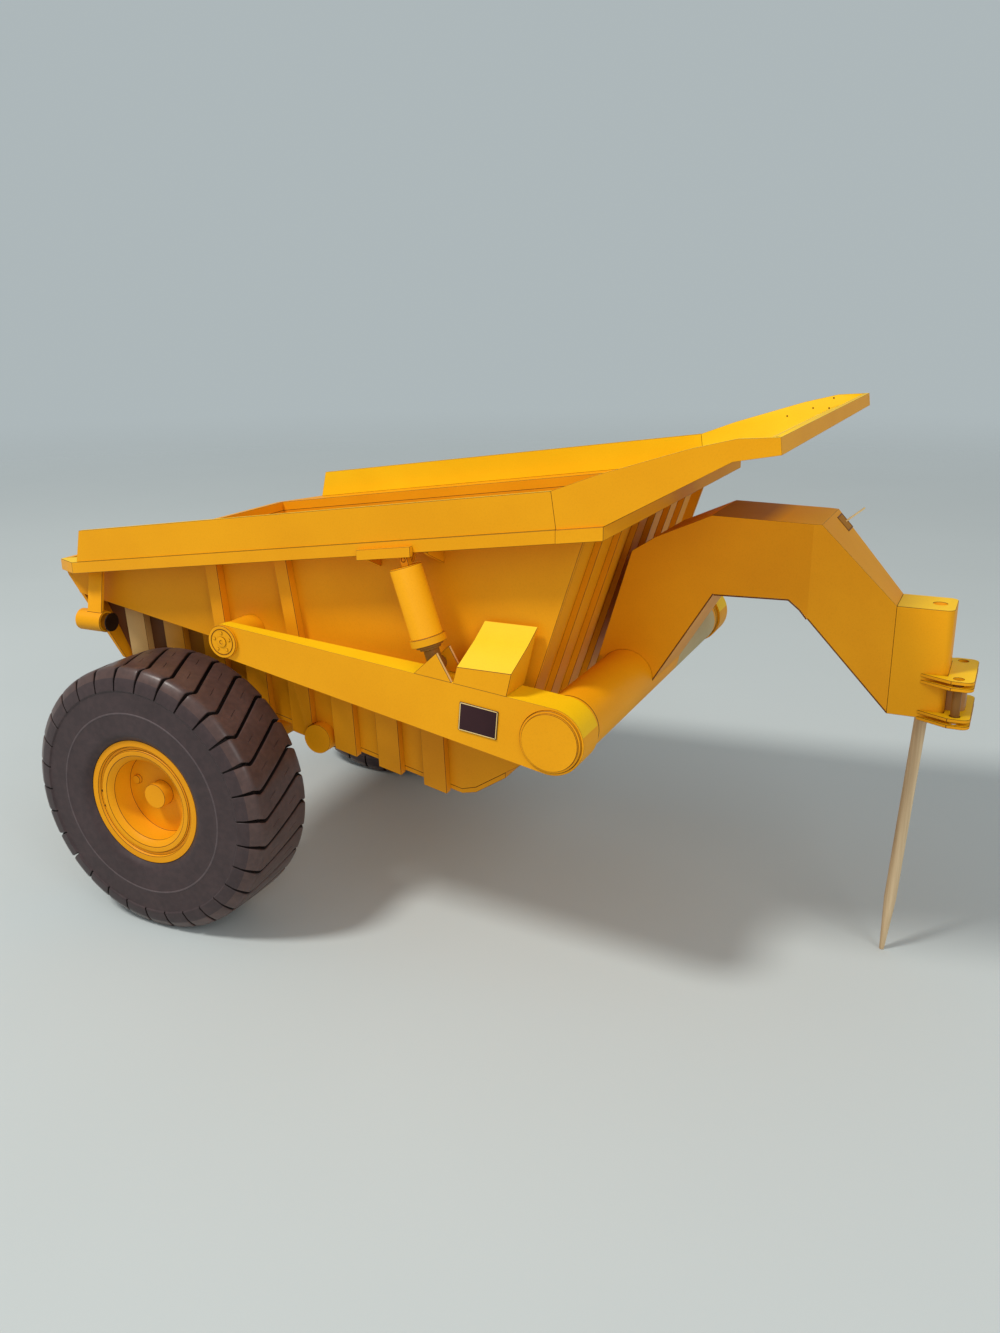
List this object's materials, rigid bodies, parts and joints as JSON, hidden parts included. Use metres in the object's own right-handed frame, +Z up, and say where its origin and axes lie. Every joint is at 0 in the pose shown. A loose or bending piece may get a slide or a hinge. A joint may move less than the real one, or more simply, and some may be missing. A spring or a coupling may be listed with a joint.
{
  "type": "scale model rear-dump gooseneck trailer",
  "caption": "Yellow card model of a two-wheeled rear-dump trailer: ribbed tub, draft arms, hoists, gooseneck and hitch, standing on a pointed stick.",
  "frame": {"origin": "floor level, midway between the tail and the hitch lugs, on the centre line", "axes": "+X forward from the axle to the hitch, +Y to the far side, +Z up"},
  "size_m": [0.2334, 0.1418, 0.1366],
  "materials": {
    "yellow_card": "satin painted card",
    "yellow_box": "satin painted card box or tube, hollow in the model",
    "tyre_card": "semi-gloss printed paper over a hollow former",
    "rod_card": "dark card",
    "plate_print": "matt print with a pale border",
    "stick_wood": "bare bamboo"
  },
  "bodies": {
    "frame": {"draft_tube": "yellow_box", "gooseneck": "yellow_box", "hitch_box": "yellow_box", "hitch_lugs": "yellow_card", "hitch_block": "yellow_card", "data_plate": "plate_print", "prop_stick": "stick_wood", "near_draft_arm": "yellow_card", "near_pivot_pin": "yellow_card", "near_foot_bracket": "yellow_card", "near_arm_box": "yellow_card", "far_draft_arm": "yellow_card", "far_pivot_pin": "yellow_card", "far_foot_bracket": "yellow_card", "far_arm_box": "yellow_card"},
    "bowl": {"tail_plate": "yellow_card", "belly_plate": "yellow_card", "front_wall": "yellow_card", "front_ribs": "yellow_card", "cross_tube": "yellow_card", "tail_bar": "yellow_card", "header_bar": "yellow_card", "canopy": "yellow_card", "axle_beam": "yellow_card", "near_bowl_side": "yellow_card", "near_low_ribs": "yellow_card", "near_side_ribs": "yellow_card", "near_rail": "yellow_card", "near_board": "yellow_card", "near_pivot_boss": "yellow_card", "near_lamp_tube": "yellow_card", "near_hoist_bracket": "yellow_card", "far_bowl_side": "yellow_card", "far_low_ribs": "yellow_card", "far_side_ribs": "yellow_card", "far_rail": "yellow_card", "far_board": "yellow_card", "far_pivot_boss": "yellow_card", "far_lamp_tube": "yellow_card", "far_hoist_bracket": "yellow_card"},
    "near_wheel": {"near_tyre": "tyre_card", "near_rim": "yellow_card"},
    "near_barrel": {"near_hoist_barrel": "yellow_card"},
    "near_stage_one": {"near_hoist_stage_one": "rod_card"},
    "near_stage_two": {"near_hoist_stage_two": "rod_card"},
    "near_rod": {"near_hoist_rod": "rod_card"},
    "far_wheel": {"far_tyre": "tyre_card", "far_rim": "yellow_card"},
    "far_barrel": {"far_hoist_barrel": "yellow_card"},
    "far_stage_one": {"far_hoist_stage_one": "rod_card"},
    "far_stage_two": {"far_hoist_stage_two": "rod_card"},
    "far_rod": {"far_hoist_rod": "rod_card"}
  },
  "joints": [
    {"name": "dump", "type": "hinge", "parent": "frame", "child": "bowl", "pos_m": [-0.05325, 0, 0.0822], "axis": [0, -1, 0], "range_deg": [0, 45]},
    {"name": "near_roll", "type": "hinge", "parent": "bowl", "child": "near_wheel", "pos_m": [-0.07835, -0.05835, 0.037], "axis": [0, 1, 0], "continuous": true},
    {"name": "near_swing", "type": "hinge", "parent": "bowl", "child": "near_barrel", "pos_m": [-0.00345, -0.05845, 0.1062], "axis": [0, 1, 0], "range_deg": [0, 25.77]},
    {"name": "near_stage_one_slide", "type": "slide", "parent": "near_barrel", "child": "near_stage_one", "axis": [0.3041, 0, -0.9527], "range_m": [0, 0.01339]},
    {"name": "near_stage_two_slide", "type": "slide", "parent": "near_stage_one", "child": "near_stage_two", "axis": [0.3041, 0, -0.9527], "range_m": [0, 0.01339]},
    {"name": "near_rod_slide", "type": "slide", "parent": "near_stage_two", "child": "near_rod", "axis": [0.3041, 0, -0.9527], "range_m": [0, 0.01339]},
    {"name": "far_roll", "type": "hinge", "parent": "bowl", "child": "far_wheel", "pos_m": [-0.07835, 0.05835, 0.037], "axis": [0, 1, 0], "continuous": true},
    {"name": "far_swing", "type": "hinge", "parent": "bowl", "child": "far_barrel", "pos_m": [-0.00345, 0.05845, 0.1062], "axis": [0, 1, 0], "range_deg": [0, 25.77]},
    {"name": "far_stage_one_slide", "type": "slide", "parent": "far_barrel", "child": "far_stage_one", "axis": [0.3041, 0, -0.9527], "range_m": [0, 0.01339]},
    {"name": "far_stage_two_slide", "type": "slide", "parent": "far_stage_one", "child": "far_stage_two", "axis": [0.3041, 0, -0.9527], "range_m": [0, 0.01339]},
    {"name": "far_rod_slide", "type": "slide", "parent": "far_stage_two", "child": "far_rod", "axis": [0.3041, 0, -0.9527], "range_m": [0, 0.01339]}
  ],
  "couplings": [
    {"joint": "near_swing", "follows": "dump", "ratio": 0.57154},
    {"joint": "near_stage_one_slide", "follows": "dump", "m_per_rad": 0.017017},
    {"joint": "near_stage_two_slide", "follows": "dump", "m_per_rad": 0.017017},
    {"joint": "near_rod_slide", "follows": "dump", "m_per_rad": 0.017017},
    {"joint": "far_swing", "follows": "dump", "ratio": 0.57154},
    {"joint": "far_stage_one_slide", "follows": "dump", "m_per_rad": 0.017017},
    {"joint": "far_stage_two_slide", "follows": "dump", "m_per_rad": 0.017017},
    {"joint": "far_rod_slide", "follows": "dump", "m_per_rad": 0.017017}
  ]
}
